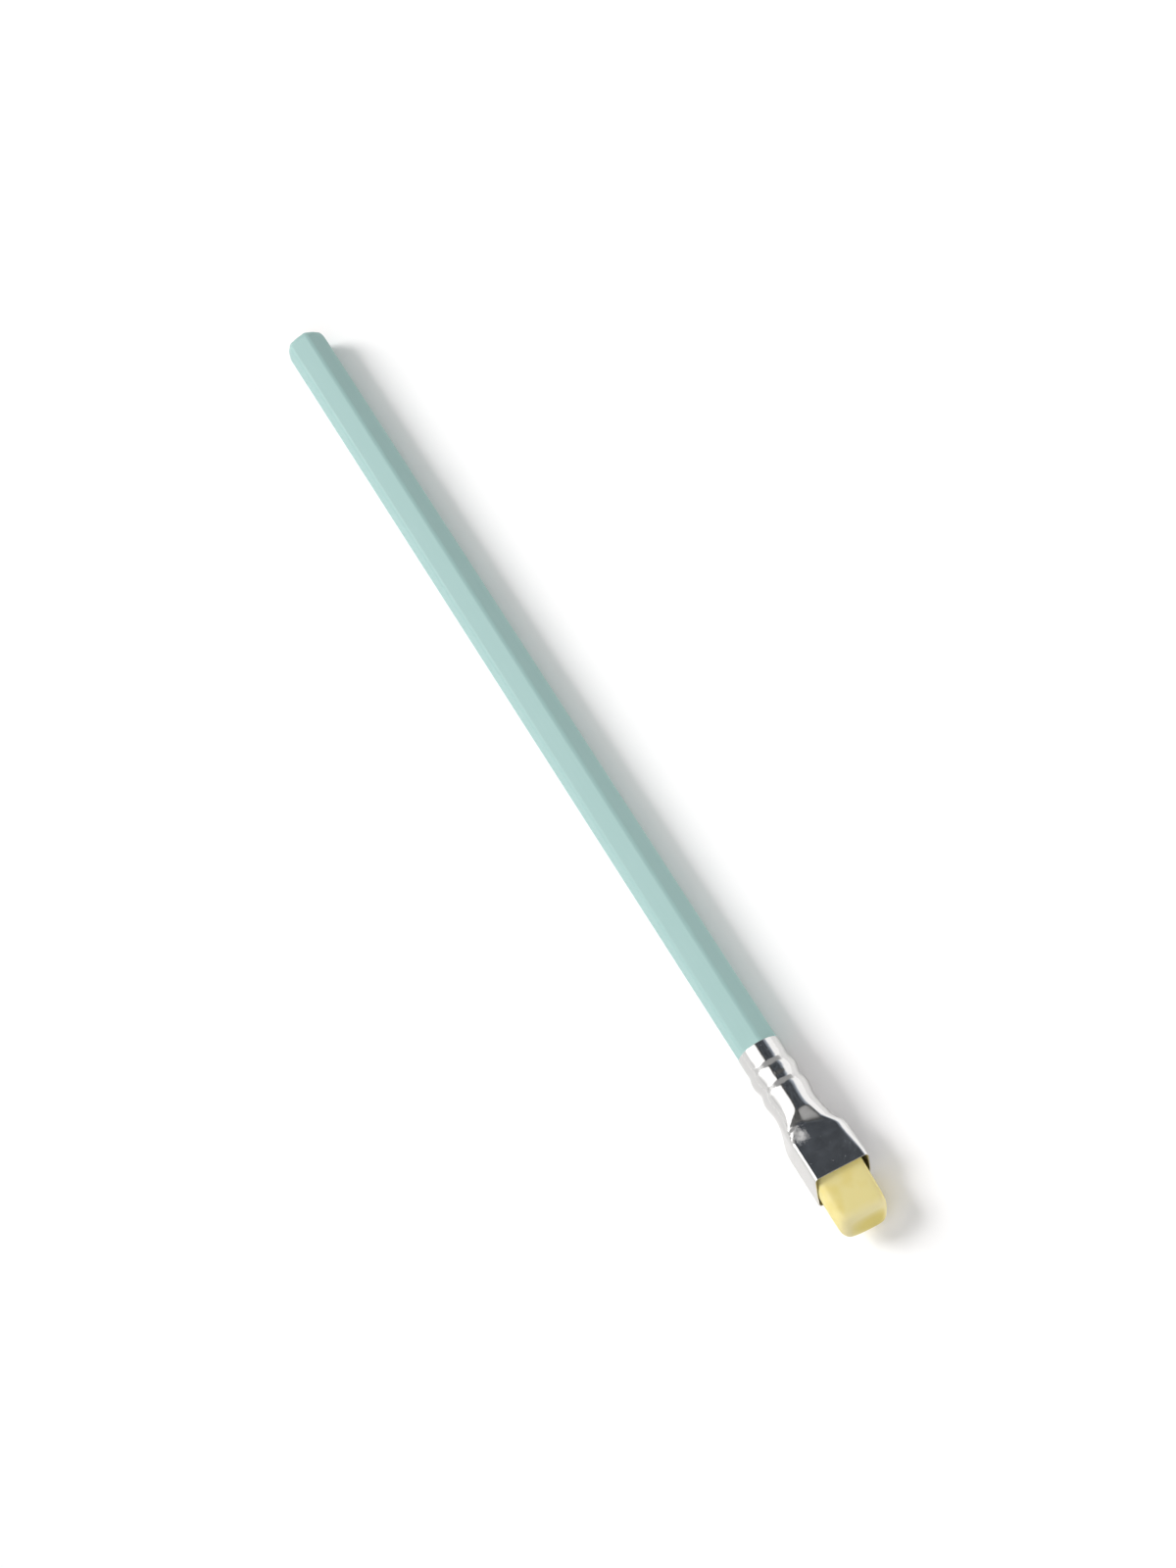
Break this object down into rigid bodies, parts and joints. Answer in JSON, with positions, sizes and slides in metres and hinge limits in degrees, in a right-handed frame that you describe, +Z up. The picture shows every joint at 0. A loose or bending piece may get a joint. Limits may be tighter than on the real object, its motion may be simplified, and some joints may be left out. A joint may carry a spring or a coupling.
{
  "type": "pencil with eraser",
  "caption": "Unsharpened hexagonal wood-cased pencil in pale mint lacquer, with a crimped metal ferrule pressed flat at the mouth and a flat eraser in a pull-out clip.",
  "frame": {"origin": "on the table under the middle of the pencil's box, as it lies at rest", "axes": "+X along the pencil from the writing end to the eraser, +Z up from the table, +Y to the side"},
  "size_m": [0.2016, 0.0112, 0.0086],
  "materials": {
    "graphite": "fired graphite and clay, satin grey where it is cut",
    "lacquered_wood": "soft wood in several thin coats of pale mint lacquer, satin",
    "ferrule_aluminium": "drawn sheet, polished bright",
    "clip_steel": "thin spring strip",
    "eraser_rubber": "pale yellow rubber, matte, with faint stains"
  },
  "bodies": {
    "pencil": {"graphite_core": "graphite", "slat_upper": "lacquered_wood", "slat_lower": "lacquered_wood", "ferrule": "ferrule_aluminium"},
    "clip": {"eraser_clip": "clip_steel"},
    "rubber": {"eraser": "eraser_rubber"}
  },
  "joints": [
    {"name": "clip_pull", "type": "slide", "parent": "pencil", "child": "clip", "axis": [1, 0, 0], "range_m": [0, 0.0105]},
    {"name": "eraser_pull", "type": "slide", "parent": "clip", "child": "rubber", "axis": [1, 0, 0], "range_m": [0, 0.0065]}
  ]
}
